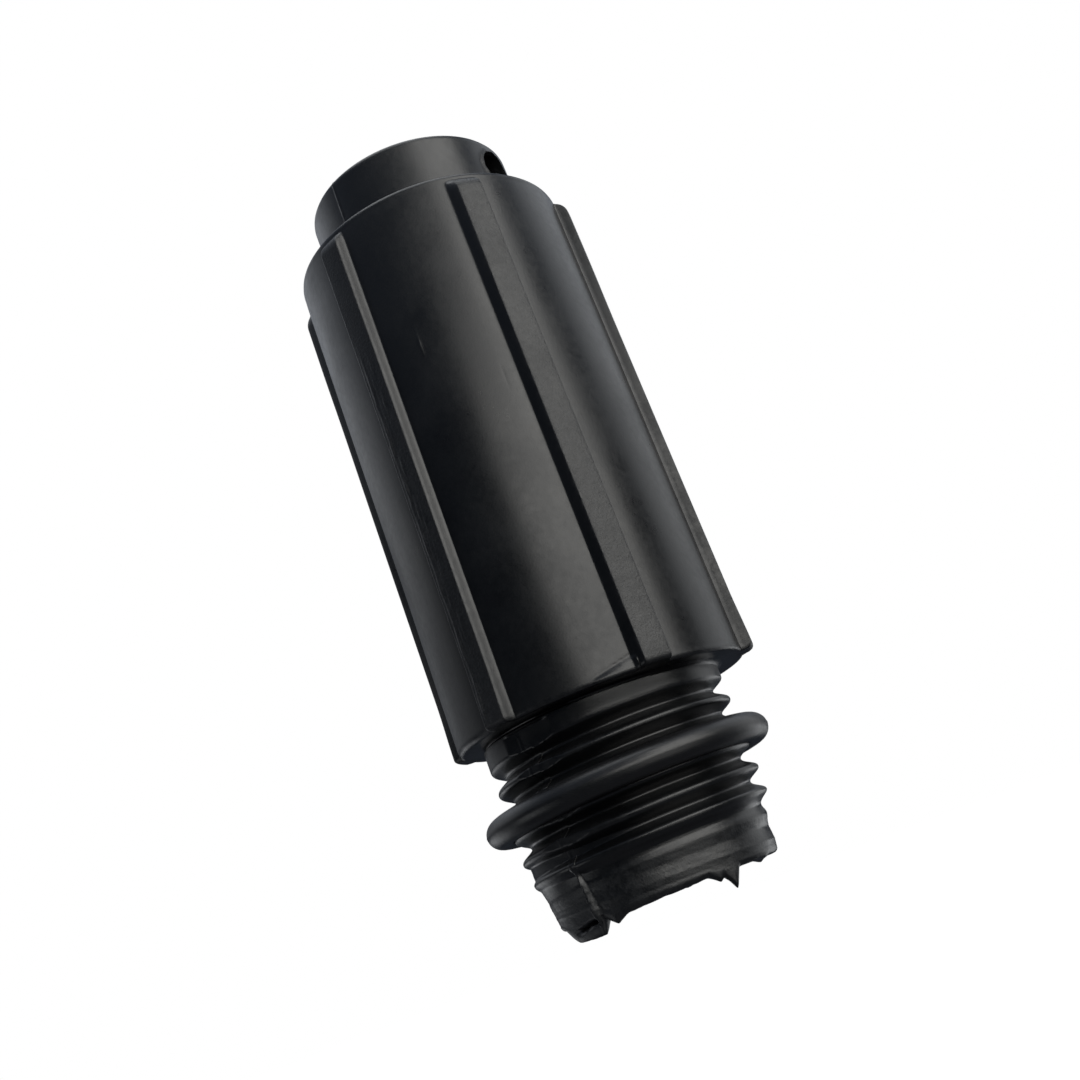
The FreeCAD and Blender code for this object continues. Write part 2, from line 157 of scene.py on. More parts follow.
def smooth(x, low, high):
    """0 below low, 1 above high, eased between; low may be above high."""
    t = np.clip((np.asarray(x, float) - low) / (high - low), 0, 1)
    return t * t * (3 - 2 * t)


def bump(x, width):
    """A soft bell, 1 in the middle and about a third at this distance from it."""
    return np.exp(-((np.asarray(x, float) / width) ** 2))


def tent(x, width):
    """A triangle, 1 in the middle and 0 at this distance from it, with a slightly blunt tip."""
    return np.clip(1.06 - np.sqrt((np.asarray(x, float) / width) ** 2 + 0.06**2), 0, 1)


def soft_ramp(x, foot, top):
    """0 below 0 and 1 above 1, with each corner rounded over about the given width."""
    return foot * np.logaddexp(0, x / foot) - top * np.logaddexp(0, (x - 1) / top)


def round_off(depth, radius):
    """How far a rounded edge of this radius falls back, at this depth from its end."""
    inside = np.clip(depth, 0, radius)
    return radius - np.sqrt(np.clip(radius**2 - (radius - inside) ** 2, 0, None))


def wander(x, seed, octaves=3):
    """A smooth random curve from about -1 to 1, read at x."""
    rng = np.random.default_rng(seed)
    x = np.asarray(x, float)
    total = np.zeros_like(x)
    for octave in range(octaves):
        for _ in range(3):
            rate = (1.0 + rng.random()) * 2.0**octave
            total = total + np.sin(rate * x + rng.random() * 6.283) / (3 * 1.6**octave)
    return total


# ---- mesh helpers ----


ARC_STEP = 0.1


def outline(corners):
    """Rows (r, z) along a closed outline of (r, z, fillet radius, step) corners.
    step is the row spacing on the side that leads to the corner. A fifth value, where a
    corner has one, is the row spacing on its fillet."""
    count = len(corners)
    points = [np.array(corner[:2], float) for corner in corners]
    starts, ends, arcs = [], [], []
    for index, point in enumerate(points):
        radius = corners[index][2]
        if not radius:
            starts.append(point)
            ends.append(point)
            arcs.append([point])
            continue
        before = points[index - 1] - point
        after = points[(index + 1) % count] - point
        before /= np.linalg.norm(before)
        after /= np.linalg.norm(after)
        half = math.acos(np.clip(before @ after, -1, 1)) / 2
        middle = (before + after) / np.linalg.norm(before + after)
        centre = point + middle * radius / math.sin(half)
        start = point + before * radius / math.tan(half)
        end = point + after * radius / math.tan(half)
        arc_step = corners[index][4] if len(corners[index]) > 4 else ARC_STEP
        steps = max(3, int(radius / arc_step))
        turn_start = start - centre
        turn_end = end - centre
        sweep = math.acos(np.clip(turn_start @ turn_end / radius**2, -1, 1))
        arc = [
            centre
            + (math.sin((1 - k / steps) * sweep) * turn_start + math.sin(k / steps * sweep) * turn_end)
            / math.sin(sweep)
            for k in range(steps + 1)
        ]
        starts.append(start)
        ends.append(end)
        arcs.append(arc)
    rows = []
    for index in range(count):
        last, first = ends[index - 1], starts[index]
        parts = max(1, int(math.ceil(np.linalg.norm(first - last) / corners[index][3])))
        rows += [last + (first - last) * k / parts for k in range(1, parts)]
        rows += arcs[index]
    return np.array(rows)


def build(name, points, closed, body, node=None, weld=1e-7):
    """A mesh object from a grid of points in mm, rows by columns, whose columns close on themselves."""
    rows, columns = points.shape[:2]
    index = np.arange(rows * columns).reshape(rows, columns)
    across = np.roll(index, -1, axis=1)
    upper = np.roll(index, -1, axis=0)
    across_upper = np.roll(across, -1, axis=0)
    faces = np.stack([index, across, across_upper, upper], axis=-1)
    if not closed:
        faces = faces[:-1]
    mesh = bpy.data.meshes.new(name)
    mesh.from_pydata((points.reshape(-1, 3) * MM).tolist(), [], faces.reshape(-1, 4).tolist())
    work = bmesh.new()
    work.from_mesh(mesh)
    if weld:
        bmesh.ops.remove_doubles(work, verts=work.verts, dist=weld)
    # an outline that runs along the axis leaves edges with no face there
    bmesh.ops.delete(work, geom=[edge for edge in work.edges if not edge.link_faces], context="EDGES")
    bmesh.ops.recalc_face_normals(work, faces=work.faces)
    work.to_mesh(mesh)
    work.free()
    for polygon in mesh.polygons:
        polygon.use_smooth = True
    piece = bpy.data.objects.new(name, mesh)
    bpy.context.scene.collection.objects.link(piece)
    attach(piece, body)
    if node:
        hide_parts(node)
    return piece


def turned(name, rows, azimuths, shape, closed, body, node=None):
    """A turned grid mesh. shape(radius, height, azimuth) returns the moved radius and height."""
    radius, azimuth = np.meshgrid(rows[:, 0], azimuths, indexing="ij")
    height, _ = np.meshgrid(rows[:, 1], azimuths, indexing="ij")
    radius, height = shape(radius, height, azimuth)
    turn = np.radians(azimuth)
    points = np.stack([radius * np.cos(turn), radius * np.sin(turn), height], axis=-1)
    return build(name, points, closed, body, node)


def sharp_by_angle(piece, degrees=38.0):
    """Keeps edges crisp where two faces meet at more than this angle."""
    mesh = piece.data
    work = bmesh.new()
    work.from_mesh(mesh)
    for edge in work.edges:
        if len(edge.link_faces) == 2 and edge.calc_face_angle(0) > math.radians(degrees):
            edge.smooth = False
    work.to_mesh(mesh)
    work.free()


def tubes(name, paths, radius, sides, body, node=None, loops=False):
    """One mesh of round wires, each following a path of points in mm."""
    verts, faces = [], []
    for path in paths:
        path = np.asarray(path, float)
        count = len(path)
        if loops:
            tangent = np.roll(path, -1, axis=0) - np.roll(path, 1, axis=0)
        else:
            tangent = np.gradient(path, axis=0)
        tangent /= np.linalg.norm(tangent, axis=1)[:, None]
        guide = np.array([0.13, 0.27, 0.95])
        side = np.cross(tangent, guide)
        side /= np.linalg.norm(side, axis=1)[:, None]
        other = np.cross(tangent, side)
        first = len(verts)
        for k in range(count):
            for s in range(sides):
                angle = 2 * math.pi * s / sides
                verts.append(path[k] + radius * (math.cos(angle) * side[k] + math.sin(angle) * other[k]))
        for k in range(count if loops else count - 1):
            for s in range(sides):
                a = first + k * sides
                b = first + (k + 1) % count * sides
                t = (s + 1) % sides
                faces.append((a + s, a + t, b + t, b + s))
        if not loops:
            faces.append(tuple(first + s for s in reversed(range(sides))))
            faces.append(tuple(first + (count - 1) * sides + s for s in range(sides)))
    mesh = bpy.data.meshes.new(name)
    mesh.from_pydata((np.array(verts) * MM).tolist(), [], faces)
    work = bmesh.new()
    work.from_mesh(mesh)
    bmesh.ops.recalc_face_normals(work, faces=work.faces)
    work.to_mesh(mesh)
    work.free()
    for polygon in mesh.polygons:
        polygon.use_smooth = True
    piece = bpy.data.objects.new(name, mesh)
    bpy.context.scene.collection.objects.link(piece)
    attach(piece, body)
    if node:
        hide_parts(node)
    return piece


def mark(piece, name, values):
    """Stores one number per vertex, which the material reads."""
    attribute = piece.data.attributes.new(name, "FLOAT", "POINT")
    attribute.data.foreach_set("value", np.asarray(values, np.float32))


def vertices(piece):
    flat = np.zeros(len(piece.data.vertices) * 3)
    piece.data.vertices.foreach_get("co", flat)
    return flat.reshape(-1, 3) / MM


def polar(place):
    """Radius, azimuth in degrees and height of points about the object's axis."""
    radius = np.hypot(place[:, 0], place[:, 1])
    azimuth = np.degrees(np.arctan2(place[:, 1], place[:, 0]))
    return radius, azimuth, place[:, 2]


# ---- materials ----


def material(name, base, roughness, metallic=0.0, grain=0.12, depth=0.02, tint=0.35, fine=None,
             coat=0.0, sheen=0.0, wear=False, streak=(1, 1, 1), specular=0.5):
    """A procedural surface: colour variation, roughness variation and bump, each from noise.
    grain is the size of its grain in mm and depth the height of it. With wear, the vertex
    marks 'edge' and 'matte' lighten and roughen the places that they cover."""
    made = bpy.data.materials.new(name)
    made.use_nodes = True
    nodes, links = made.node_tree.nodes, made.node_tree.links
    shader = nodes["Principled BSDF"]
    shader.inputs["Metallic"].default_value = metallic
    shader.inputs["Coat Weight"].default_value = coat
    shader.inputs["Coat Roughness"].default_value = 0.25
    shader.inputs["Sheen Weight"].default_value = sheen
    shader.inputs["Specular IOR Level"].default_value = specular
    place = nodes.new("ShaderNodeTexCoord")
    scale = nodes.new("ShaderNodeMapping")
    scale.inputs["Scale"].default_value = [1 / MM * s for s in streak]
    links.new(place.outputs["Object"], scale.inputs["Vector"])

    def noise(size, detail=3.0, distortion=0.0):
        node = nodes.new("ShaderNodeTexNoise")
        node.inputs["Scale"].default_value = 1.0 / size
        node.inputs["Detail"].default_value = detail
        node.inputs["Distortion"].default_value = distortion
        links.new(scale.outputs["Vector"], node.inputs["Vector"])
        return node.outputs["Fac"]

    def span(value, low, high, to_low, to_high):
        node = nodes.new("ShaderNodeMapRange")
        for socket, number in (("From Min", low), ("From Max", high),
                               ("To Min", to_low), ("To Max", to_high)):
            node.inputs[socket].default_value = number
        links.new(value, node.inputs["Value"])
        return node.outputs["Result"]

    def math_node(kind, first, second):
        node = nodes.new("ShaderNodeMath")
        node.operation = kind
        for slot, value in enumerate((first, second)):
            if isinstance(value, (int, float)):
                node.inputs[slot].default_value = value
            else:
                links.new(value, node.inputs[slot])
        return node.outputs["Value"]

    def mix(factor, first, second):
        node = nodes.new("ShaderNodeMix")
        node.data_type = "RGBA"
        links.new(factor, node.inputs["Factor"])
        for socket, value in ((node.inputs["A"], first), (node.inputs["B"], second)):
            if isinstance(value, tuple):
                socket.default_value = (*value, 1)
            else:
                links.new(value, socket)
        return node.outputs["Result"]

    darker = tuple(c * (1 - tint) for c in base)
    lighter = tuple(c * (1 + tint) for c in base)
    blotches = noise(4.0, 4.0, 0.4)
    colour = mix(span(blotches, 0.35, 0.65, 0, 1), darker, lighter)
    speck = span(noise(grain * 2.2, 2.0), 0.42, 0.72, 0, 1)
    colour = mix(math_node("MULTIPLY", speck, 0.35), colour, tuple(c * (1 + 2.2 * tint) for c in base))
    rough = span(blotches, 0.3, 0.7, roughness * 0.88, roughness * 1.12)
    rough = math_node("ADD", rough, span(noise(grain * 3), 0.3, 0.7, -0.03, 0.04))
    height = noise(grain, 2.0)
    if fine:
        height = math_node("ADD", height, math_node("MULTIPLY", fine(nodes, links, scale), 1.6))
    if wear:
        edge = nodes.new("ShaderNodeAttribute")
        edge.attribute_name = "edge"
        matte = nodes.new("ShaderNodeAttribute")
        matte.attribute_name = "matte"
        scuff = span(noise(0.5, 4.0, 0.8), 0.4, 0.62, 0, 1)
        worn = math_node("MULTIPLY", edge.outputs["Fac"], scuff)
        colour = mix(math_node("MULTIPLY", worn, 0.8), colour, tuple(c * 2.6 + 0.004 for c in base))
        colour = mix(math_node("MULTIPLY", matte.outputs["Fac"], span(noise(0.16, 3), 0.4, 0.66, 0, 0.9)),
                     colour, tuple(c * 2.2 + 0.003 for c in base))
        rough = math_node("ADD", rough, math_node("MULTIPLY", worn, 0.12))
        rough = math_node("ADD", rough, math_node("MULTIPLY", matte.outputs["Fac"], 0.12))
        boost = math_node("ADD", 1.0, math_node("MULTIPLY", matte.outputs["Fac"], 6.0))
        height = math_node("MULTIPLY", height, boost)
    links.new(colour, shader.inputs["Base Color"])
    links.new(rough, shader.inputs["Roughness"])
    relief = nodes.new("ShaderNodeBump")
    relief.inputs["Distance"].default_value = depth * MM
    relief.inputs["Strength"].default_value = 1.0
    links.new(height, relief.inputs["Height"])
    links.new(relief.outputs["Normal"], shader.inputs["Normal"])
    return made


def weave(pitch):
    """Crossing threads of a woven mesh as a height, for material()."""
    def add(nodes, links, scale):
        heights = []
        for axis in ("X", "Y"):
            wave = nodes.new("ShaderNodeTexWave")
            wave.bands_direction = axis
            wave.inputs["Scale"].default_value = 0.314 / pitch
            links.new(scale.outputs["Vector"], wave.inputs["Vector"])
            heights.append(wave.outputs["Fac"])
        node = nodes.new("ShaderNodeMath")
        node.operation = "MAXIMUM"
        for slot, value in enumerate(heights):
            links.new(value, node.inputs[slot])
        return node.outputs["Value"]
    return add


def cells(size):
    """Open cells of a foam as a height, for material()."""
    def add(nodes, links, scale):
        node = nodes.new("ShaderNodeTexVoronoi")
        node.inputs["Scale"].default_value = 1.0 / size
        links.new(scale.outputs["Vector"], node.inputs["Vector"])
        return node.outputs["Distance"]
    return add


LOOKS = {
    "black_nylon": material("black_nylon", (0.0034, 0.0037, 0.0041), 0.33, grain=0.13, depth=0.0035,
                            tint=0.30, wear=True),
    "black_rubber": material("black_rubber", (0.0048, 0.0050, 0.0056), 0.37, grain=0.09, depth=0.004,
                             tint=0.30),
    "stainless_mesh": material("stainless_mesh", (0.42, 0.41, 0.39), 0.34, 1.0, grain=0.05, depth=0.004,
                               tint=0.15, fine=weave(0.2)),
    "black_acetal": material("black_acetal", (0.012, 0.012, 0.013), 0.38,
                             grain=0.07, depth=0.004, tint=0.25),
    "knitted_wire": material("knitted_wire", (0.40, 0.39, 0.37), 0.36, 1.0,
                             grain=0.05, depth=0.003, tint=0.2),
    "gasket_fibre": material("gasket_fibre", (0.10, 0.13, 0.10), 0.85, grain=0.06, depth=0.03, tint=0.4,
                             streak=(1, 3, 3)),
    "brass": material("brass", (0.56, 0.38, 0.13), 0.30, 1.0, grain=0.08, depth=0.004, tint=0.12,
                      streak=(1, 1, 12)),
    "brown_rubber": material("brown_rubber", (0.060, 0.030, 0.018), 0.58,
                             grain=0.08, depth=0.008, tint=0.3),
    "white_acetal": material("white_acetal", (0.72, 0.71, 0.68), 0.42,
                             grain=0.09, depth=0.004, tint=0.06),
    "spring_steel": material("spring_steel", (0.42, 0.42, 0.43), 0.28, 1.0,
                             grain=0.05, depth=0.004, tint=0.15,
                             streak=(1, 1, 6)),
    "plated_steel": material("plated_steel", (0.50, 0.50, 0.48), 0.33, 1.0,
                             grain=0.10, depth=0.005, tint=0.15),
    "grey_felt": material("grey_felt", (0.20, 0.20, 0.195), 0.95, grain=0.14, depth=0.08, tint=0.3,
                          sheen=0.3, streak=(1, 1, 2.5)),
    "grey_foam": material("grey_foam", (0.055, 0.057, 0.060), 0.92, grain=0.12, depth=0.10, tint=0.35,
                          fine=cells(0.45)),
}


def finish_piece(piece, slot):
    piece.data.materials.clear()
    piece.data.materials.append(LOOKS[slot])


# ---- housing: barrel, ribs and threaded spigot in one moulding ----


def rib_cover(azimuth, radius, height):
    """How far the ribs stand out of the barrel there, in mm."""
    total = np.zeros_like(radius)
    for centre, drafted_side in zip(RIB_AZIMUTHS, RIB_DRAFTED_SIDES):
        away = wrap(azimuth - centre)
        across = np.radians(np.abs(away)) * (radius + RIB_HEIGHT / 2)
        drafted = np.sign(away) == drafted_side
        if drafted_side:
            flank = np.where(drafted, RIB_DRAFTED_FLANK, RIB_STEEP_FLANK)
        else:
            flank = np.full(radius.shape, RIB_PLANE_FLANK)
        slope = np.clip((RIB_TOP_HALF + flank - across) / flank, -0.5, 1.5)
        # the drafted flank's corners are crisper, and a faint bead runs along its top edge
        wide = flank == RIB_DRAFTED_FLANK
        rise = soft_ramp(slope, np.where(wide, 0.09, 0.22), np.where(wide, 0.09, 0.16))
        head = round_off(RIB_END - height, RIB_HEAD_RADIUS)
        foot = round_off(height, RIB_FOOT_RADIUS)
        peak = np.clip(RIB_HEIGHT - head - foot, 0, None) * (height < RIB_END)
        bead = np.where(wide, 0.022, 0.0) * bump(across - RIB_TOP_HALF, 0.07)
        total = np.maximum(total, np.clip(rise, 0, 1.02) * peak + bead * peak / RIB_HEIGHT)
    return total


def spigot_radius(azimuth, height):
    """The spigot's outer radius: worn thread up to the seat, and the plain pilot below it."""
    half = np.where(wrap(azimuth) > 0, 1.0, -1.0)
    helix = THREAD_CREST_AT_X + THREAD_PITCH * azimuth / 360.0 + 0.03 * half
    away = (height - helix + THREAD_PITCH / 2) % THREAD_PITCH - THREAD_PITCH / 2
    # how the crests fade out into the cone over the pilot, and the pilot's worn outline
    crest_z = [-10.45, -10.05, -9.5, -8.9, -8.35, -7.6]
    crest_r = [7.12, 7.20, 7.40, 7.66, 7.90, THREAD_CREST]
    root_z = [-12.4, -11.9, -11.5, -11.2, -10.4, -10.0, -8.8, -8.4]
    root_r = [6.80, 6.99, 7.12, 7.17, 7.10, 7.15, 7.20, THREAD_ROOT]
    crest = np.interp(height, crest_z, crest_r)
    root = np.interp(height, root_z, root_r)
    tooth_foot_half = 0.62
    flank_width = 0.46
    wear = 0.12
    slope = np.clip((tooth_foot_half - np.abs(away)) / flank_width, -0.4, 1.4)
    tooth = np.clip(soft_ramp(slope, wear, wear), 0, 1)
    # the groove runs out one turn under the seat, so the last crest blends into a plain neck
    start = THREAD_CREST_AT_X - 5.5 * THREAD_PITCH
    turns_up = (height - start) / THREAD_PITCH
    lap = np.mod(azimuth, 360.0) / 360.0
    groove_turn = lap + np.round(turns_up - lap)
    tooth = np.maximum(tooth, smooth(groove_turn, THREAD_TURNS - 0.12, THREAD_TURNS + 0.02))
    # it starts shallow as well, and the lead-in is wider on the side where it starts
    low_side = bump(wrap(azimuth - LEAN_AZIMUTH), 55.0)
    tooth = np.maximum(tooth, low_side * smooth(groove_turn, 1.75, 1.45) * 0.62)
    crest = crest + 0.16 * low_side * smooth(height, -8.0, -9.2) * smooth(height, -11.6, -10.4)
    root = root + 0.10 * low_side * smooth(height, -8.0, -9.2) * smooth(height, -11.4, -10.2)
    radius = root + np.clip(crest - root, 0, None) * tooth
    # flats along the parting line
    for centre in PARTING_PLANE:
        turn = np.radians(wrap(azimuth - centre))
        shaved = PARTING_FLAT / np.cos(np.clip(turn, -1, 1))
        inside = (np.abs(turn) * PARTING_FLAT < PARTING_FLAT_HALF) & (height < -0.3)
        radius = np.where(inside & (radius > shaved), shaved, radius)
    return radius


def panel_drift(cover, height, azimuth):
    """The panels stand a little towards one side, more so at their foot, the ribs sink in the
    middle, and the whole moulding is slowly wavy."""
    turn = np.radians(azimuth)
    toward = np.cos(turn - math.radians(LEAN_AZIMUTH))
    panel = (1 - cover / RIB_HEIGHT) * np.clip(height / 0.4, 0, 1)
    foot = 0.10 * smooth(height, 13.0, 1.0) * bump(wrap(azimuth - LEAN_AZIMUTH), 30.0)
    low_sink = 0.07 * smooth(height, 4.0, 0.5)
    high_sink = 0.04 * smooth(height, 24.0, 30.0)
    sink = cover / RIB_HEIGHT * (low_sink + high_sink - 0.03)
    wave = 0.012 * np.sin(2 * turn + 0.7 + height / 9.0) + 0.008 * np.sin(5 * turn - height / 6.0)
    return panel * (0.06 * toward + foot) + sink + wave


def rib_flash(centre, radius, height, azimuth):
    """The parting line's ridge on a rib, with torn scuffs beside it."""
    across = np.radians(wrap(azimuth - centre)) * radius
    lively = 0.55 + 0.45 * wander(height * 0.9 + centre, 31) + 0.25 * wander(height * 4.0, 32)
    along = smooth(height, 27.0, 22.0) * smooth(height, 0.2, 1.2)
    ridge = bump(across - 0.05 * wander(height, 33), 0.11) * along * np.clip(lively, 0.1, 1.3)
    total = 0.11 * ridge
    for offset, wide, seed, tall in RIB_SCUFFS:
        torn = np.clip(wander(height * 2.2 + 5 * offset, seed), 0, 1)
        drift = offset + 0.06 * wander(height * 1.7, seed + 4)
        total = total + tall * bump(across - drift, wide) * along * torn
    return total


def spigot_flash(centre, radius, height, azimuth):
    """The parting line's ridge on the spigot. It drifts, it stands out only below the thread, and
    its side towards higher azimuth is the broad one."""
    across = np.radians(wrap(azimuth - centre)) * radius
    drift = np.radians(3.0 * smooth(height, -12.0, -2.0)) * radius
    below = smooth(height, -8.6, -10.0)
    beside = across + drift + 0.03 * wander(height * 2.5, 36)
    steep = 0.16
    broad = 0.20 + 0.42 * below * smooth(height, -9.0, -12.0)
    side = np.clip(1 - np.where(beside > 0, beside / broad, -beside / steep), 0, 1)
    ridge = smooth(side, 0, 1) * (0.02 + 0.25 * below) * (1 + 0.2 * wander(height * 3, 35))
    return np.clip(ridge, 0, 0.34)


def foot_flash(height, azimuth):
    """The strip of flash at the foot of the front panel, wider towards the rib."""
    on_panel = np.abs(wrap(azimuth - front(6.5))) < 9.6
    toward_rib = np.clip(wrap(azimuth - front(-3.0)) / 18.0, 0, 1) * on_panel
    strip = 0.15 + 0.75 * toward_rib
    flare = np.clip((strip - height) / strip, 0, 1) ** 0.5 * smooth(toward_rib, 0.02, 0.3)
    groove = bump(height - strip - 0.06, 0.05) * smooth(toward_rib, 0.05, 0.4)
    return 0.13 * flare - 0.03 * groove


def hanging_flash(radius, height, azimuth):
    """How far the spigot's ragged end moves in height: an uneven rim, teeth and a long tongue."""
    turn = np.radians(azimuth)
    near_end = smooth(height, SPIGOT_END + 0.7, SPIGOT_END) * (radius > MOUTH_RADIUS + 0.55)
    uneven = 0.02 * wander(turn * 5, 41) + 0.015 * wander(turn * 17, 42)
    tongue_start = smooth(wrap(azimuth - front(-76.0)), 0, 16)
    tongue_end = smooth(wrap(azimuth - front(-36.5)), 0, -3.5)
    hang = -LOBE_DROP * tongue_start * tongue_end
    for angle, drop, half_width in HANGING_FLASH:
        hang = hang - drop * tent(wrap(azimuth - front(angle)), half_width)
    outer_rim = bump(radius - 6.85, 0.55)
    return uneven * near_end + hang * near_end * outer_rim


def tongue_slot(height, azimuth):
    """The slot between the tongue of flash and the pilot, 1 where it is deepest."""
    level = SPIGOT_END - 0.16 + 0.10 * np.sin(0.2 * wrap(azimuth - front(-50.0)))
    start = smooth(wrap(azimuth - front(-60.0)), 0, 6)
    end = smooth(wrap(azimuth - front(-38.0)), 0, -3)
    return bump(height - level, 0.11) * start * end


def pilot_marks(height, azimuth):
    """Tool marks round the pilot, and slow dents in it."""
    turn = np.radians(azimuth)
    rings = 0.005 * wander(height * 6.0 + 0.4 * np.sin(turn * 3), 51)
    dents = 0.007 * wander(turn * 7 + height * 3, 52)
    return rings + dents


def spigot_lean(radius, height, azimuth):
    """The spigot stands off the barrel's axis; its bore and the parts in it do not."""
    lean = LEAN * smooth(height, -0.02, -0.22) - 0.07 * smooth(height, -5.0, -11.4)
    toward = np.cos(np.radians(azimuth) - math.radians(LEAN_AZIMUTH))
    return lean * toward * smooth(radius, MOUTH_RADIUS + 0.3, 6.9)


def housing_shape(radius, height, azimuth):
    outer = (radius > 8.9) & (height > -0.01) & (height < BARREL_TOP - 0.001)
    spigot = (radius > 6.9) & (radius < 8.05) & (height < -0.17) & (height > SPIGOT_END + 0.25)
    new_radius = radius.copy()
    new_radius[spigot] = spigot_radius(azimuth[spigot], height[spigot])
    cover = np.zeros_like(radius)
    cover[outer] = rib_cover(azimuth[outer], radius[outer], height[outer])
    new_radius += cover
    new_radius += np.where(outer, panel_drift(cover, height, azimuth), 0)
    for centre, strength in zip(PARTING_LINES, (1.0, 0.7)):
        new_radius += np.where(outer, strength * rib_flash(centre, radius, height, azimuth), 0)
        below_neck = spigot & (height < -0.6)
        new_radius += np.where(below_neck, strength * spigot_flash(centre, radius, height, azimuth), 0)
    new_radius += np.where(outer & (height < 1.3), foot_flash(height, azimuth), 0)
    for angle, level, wide, tall, stands_out in NICKS:
        across = np.radians(wrap(azimuth - front(angle))) * radius
        nick = stands_out * bump(across, wide) * bump(height - level, tall)
        new_radius += np.where(outer, nick, 0)
    new_height = height + hanging_flash(radius, height, azimuth)
    end_wall = (radius > 6.4) & (height < SPIGOT_END + 0.9)
    new_radius -= np.where(end_wall, 0.50 * tongue_slot(new_height, azimuth), 0)
    new_radius += np.where(spigot & (height < -9.9), pilot_marks(height, azimuth), 0)
    # the neck widens a little where it meets the seat
    flared = 0.10 * smooth(height, -1.2, -0.1) * bump(wrap(azimuth - front(5.0)), 50.0)
    new_radius += np.where(spigot, flared, 0)
    new_radius += np.where(height < 0, spigot_lean(radius, height, azimuth), 0)
    return new_radius, new_height


def housing_azimuths():
    """The mesh's columns: close together where the outline turns sharply, wide apart between."""
    values = []
    rib_offsets = [0, 0.25, 0.5, 0.8, 1.2, 1.8, 2.6, 3.3, 3.8, 4.1, 4.3, 4.5, 4.7, 4.9, 5.1, 5.3, 5.5,
                   5.7, 5.9, 6.1, 6.3, 6.6, 6.9, 7.1, 7.3, 7.5, 7.7, 7.9, 8.3, 9.0, 10.0]
    for centre in RIB_AZIMUTHS:
        for offset in rib_offsets:
            values += [centre + offset, centre - offset]
        values += [centre + step for step in np.arange(11.6, 48.5, 1.6)]
    flat_edge_offsets = (13.2, 14.0, 14.5, 15.0)
    for centre in PARTING_PLANE:
        values += [centre + sign * offset for sign in (-1, 1) for offset in flat_edge_offsets]
    for centre in PARTING_LINES:
        values += [centre + offset for offset in np.arange(-2.4, 2.5, 0.3)]
    for angle, spacing in FINE_PLACES:
        values += [front(angle) + spacing * k for k in (-1.5, -1, -0.5, 0, 0.5, 1, 1.5)]
    values = np.unique(np.round(np.mod(values, 360.0), 3))
    least_gap = 0.09
    keep = np.concatenate([[True], np.diff(values) > least_gap])
    return values[keep]


def make_housing():
    fine = 0.035  # row spacing at the spigot's ragged end
    corners = [
        (MOUTH_RADIUS, SCREEN_LEDGE, 0, 1.0),
        (MOUTH_RADIUS, SPIGOT_END, 0.2, 0.6, fine),
        (7.1, SPIGOT_END, 0.34, 0.25, fine),
        (7.11, SPIGOT_END + 0.8, 0, fine),
        (7.15, -9.0, 0, 0.075),
        (THREAD_CREST, -8.9, 0, 0.3),
        (THREAD_CREST, 0.0, 0.16, 0.06),
        (BARREL_LOW_RADIUS, 0.0, 0.22, 0.3),
        (BARREL_LOW_RADIUS - 0.005, 1.4, 0, 0.12),
        (BARREL_HIGH_RADIUS + 0.006, BARREL_TOP - 1.8, 0, 0.6),
        (BARREL_HIGH_RADIUS, BARREL_TOP, 0.3, 0.08),
        (CAP_BORE_RADIUS, BARREL_TOP, 0.1, 0.4),
        (CAP_BORE_RADIUS, 32.3, 0, 0.6),
        (SNAP_GROOVE_RADIUS, 32.3, 0, 0.3),
        (SNAP_GROOVE_RADIUS, 31.5, 0, 0.4),
        (CAP_BORE_RADIUS, 31.5, 0, 0.3),
        (CAP_BORE_RADIUS, CAP_SHOULDER, 0, 1.0),
        (CAVITY_RADIUS, CAP_SHOULDER, 0, 0.4),
        (CAVITY_RADIUS, CAVITY_FLOOR, 0, 4.0),
        (PAD_BORE_RADIUS, CAVITY_FLOOR, 0, 1.2),
        (PAD_BORE_RADIUS, SCREEN_LEDGE, 0, 1.5),
    ]
    rows = outline(corners)
    piece = turned("housing_moulding", rows, housing_azimuths(), housing_shape, True, "body", "housing")
    sharp_by_angle(piece, 48)
    finish_piece(piece, "black_nylon")
    mark_housing_wear(piece)


def near_parting_line(azimuth, width):
    """1 on either parting line, fading over this many degrees."""
    return np.maximum(*(bump(wrap(azimuth - centre), width) for centre in PARTING_LINES))


def mark_housing_wear(piece):
    """Tells the material where edges are worn and where the moulding is fine-textured."""
    radius, azimuth, height = polar(vertices(piece))
    rib_edge = np.zeros_like(radius)
    rib_face = np.zeros_like(radius)
    on_barrel = (height > 0.05) & (height < RIB_END) & (radius > 9.3)
    for centre in RIB_AZIMUTHS:
        across = np.abs(np.radians(wrap(azimuth - centre)) * radius)
        rib_edge = np.maximum(rib_edge, bump(across - RIB_TOP_HALF, 0.12))
        rib_face = np.maximum(rib_face, smooth(across, RIB_TOP_HALF + 0.05, RIB_TOP_HALF - 0.1))
    rim = bump(height - BARREL_TOP, 0.25) * (radius > 9.0)
    foot = bump(height, 0.3) * (radius > 9.2)
    parting = near_parting_line(azimuth, 1.6) * smooth(height, 27.0, 20.0)
    crest = smooth(radius, 7.7, 7.9) * (height < -1.5)
    scuffs = smooth(height, -9.2, -10.2) * smooth(radius, 6.9, 7.05) * 0.8
    on_ribs = rib_edge * on_barrel * 0.9
    edge = on_ribs + rim * 0.8 + foot * 0.8 + parting * 0.9 + crest * 0.35 + scuffs
    mark(piece, "edge", np.clip(edge, 0, 1))
    mark(piece, "matte", np.clip(rib_face * on_barrel + 0.6 * scuffs, 0, 1))


# ---- vent cap ----


